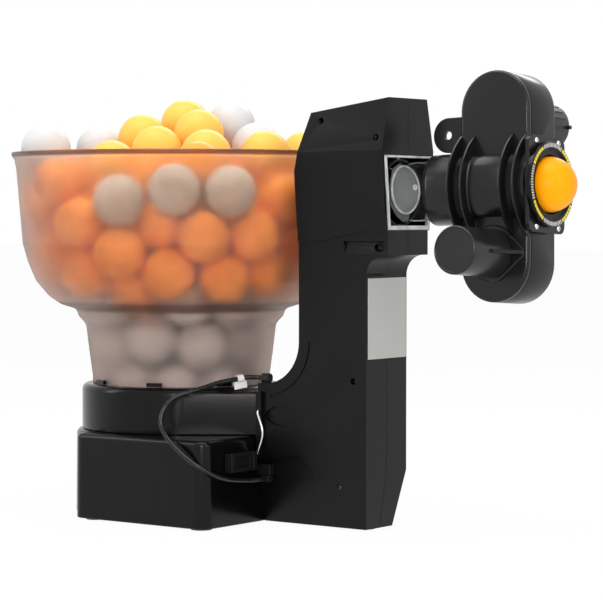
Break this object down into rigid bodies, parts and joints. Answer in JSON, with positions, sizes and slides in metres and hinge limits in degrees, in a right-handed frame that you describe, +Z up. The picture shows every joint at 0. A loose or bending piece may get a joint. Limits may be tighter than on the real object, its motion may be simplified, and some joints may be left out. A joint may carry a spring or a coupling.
{
  "type": "table tennis robot",
  "caption": "Free-standing table tennis robot: ball hopper on a feeder drum, hollow column, and a two-wheel throwing head that swings, tilts and rolls.",
  "frame": {"origin": "on the floor, under the middle of the bounding box", "axes": "+X is the way the balls leave, +Z is up, +Y is to the left of a person looking along +X"},
  "size_m": [0.4798, 0.269, 0.3423],
  "materials": {
    "black_plastic": "fine matt grain",
    "head_plastic": "fine matt grain",
    "inner_plastic": "matt",
    "smoke_plastic": "smoky, see-through",
    "clear_plastic": "clear",
    "rubber": "soft matt",
    "tyre_foam": "fine pores",
    "steel": "bright",
    "motor_paint": "satin",
    "silver_plate": "satin",
    "board": "satin",
    "white_plastic": "satin"
  },
  "bodies": {
    "stand": {"base_cover": "black_plastic", "feeder_drum": "black_plastic", "housing_near_shell": "black_plastic", "housing_far_shell": "black_plastic", "base_plate": "inner_plastic", "feeder_gearbox": "inner_plastic", "ball_duct": "inner_plastic", "power_socket": "inner_plastic", "lead_socket": "inner_plastic", "lead_plug": "inner_plastic", "clear_window": "clear_plastic", "rubber_foot_1": "rubber", "rubber_foot_2": "rubber", "rubber_foot_3": "rubber", "rubber_foot_4": "rubber", "rubber_foot_5": "rubber", "sensor_lead": "rubber", "lead_gland": "rubber", "feeder_motor": "steel", "swing_motor": "steel", "wire_latch": "steel", "housing_screw_1": "steel", "housing_screw_2": "steel", "housing_screw_3": "steel", "housing_screw_4": "steel", "housing_screw_5": "steel", "label_plate": "silver_plate", "circuit_board": "board", "lead_tag": "white_plastic"},
    "hopper": {"hopper": "smoke_plastic"},
    "feeder": {"star_wheel": "inner_plastic", "star_cap": "inner_plastic", "feeder_shaft": "steel"},
    "swing": {"swing_ring": "inner_plastic", "swing_pin": "steel", "swing_shaft": "steel", "swing_gear": "white_plastic"},
    "swing_drive": {"swing_pinion": "white_plastic"},
    "tilt": {"swivel_cup": "head_plastic", "tilt_pin_near": "steel", "tilt_pin_far": "steel"},
    "head": {"roll_sleeve": "head_plastic", "head_near_shell": "head_plastic", "head_far_shell": "head_plastic", "upper_motor": "motor_paint", "lower_motor": "motor_paint", "mouth_plate": "head_plastic", "mouth_ring": "black_plastic", "mouth_screw_1": "steel", "mouth_screw_2": "steel", "mouth_screw_3": "steel", "mouth_screw_4": "steel"},
    "upper_wheel": {"upper_tyre": "tyre_foam", "upper_wheel_hub": "inner_plastic", "upper_motor_shaft": "steel"},
    "lower_wheel": {"lower_tyre": "tyre_foam", "lower_wheel_hub": "inner_plastic", "lower_motor_shaft": "steel"}
  },
  "joints": [
    {"name": "hopper_lift", "type": "slide", "parent": "stand", "child": "hopper", "axis": [0, 0, 1], "range_m": [0, 0.05]},
    {"name": "feeder_turn", "type": "hinge", "parent": "stand", "child": "feeder", "pos_m": [-0.10541, 0, 0.07], "axis": [0, 0, 1], "continuous": true},
    {"name": "head_swing", "type": "hinge", "parent": "stand", "child": "swing", "pos_m": [0.10459, 0, 0.254], "axis": [0, 0, 1], "range_deg": [-15, 15]},
    {"name": "swing_drive_turn", "type": "hinge", "parent": "stand", "child": "swing_drive", "pos_m": [0.07999, 0, 0.286], "axis": [0, 0, 1], "range_deg": [-45, 45]},
    {"name": "head_tilt", "type": "hinge", "parent": "swing", "child": "tilt", "pos_m": [0.10459, 0, 0.254], "axis": [0, 1, 0], "range_deg": [-7.5, 10]},
    {"name": "head_roll", "type": "hinge", "parent": "tilt", "child": "head", "pos_m": [0.10459, 0, 0.254], "axis": [0.9992, 0, 0.0401], "range_deg": [-90, 90]},
    {"name": "upper_wheel_spin", "type": "hinge", "parent": "head", "child": "upper_wheel", "pos_m": [0.1955, 0.00269, 0.3017], "axis": [0.0024, 0.9981, -0.061], "continuous": true},
    {"name": "lower_wheel_spin", "type": "hinge", "parent": "head", "child": "lower_wheel", "pos_m": [0.19903, -0.00269, 0.21374], "axis": [0.0024, 0.9981, -0.061], "continuous": true}
  ],
  "couplings": [
    {"joint": "swing_drive_turn", "follows": "head_swing", "ratio": -3}
  ]
}
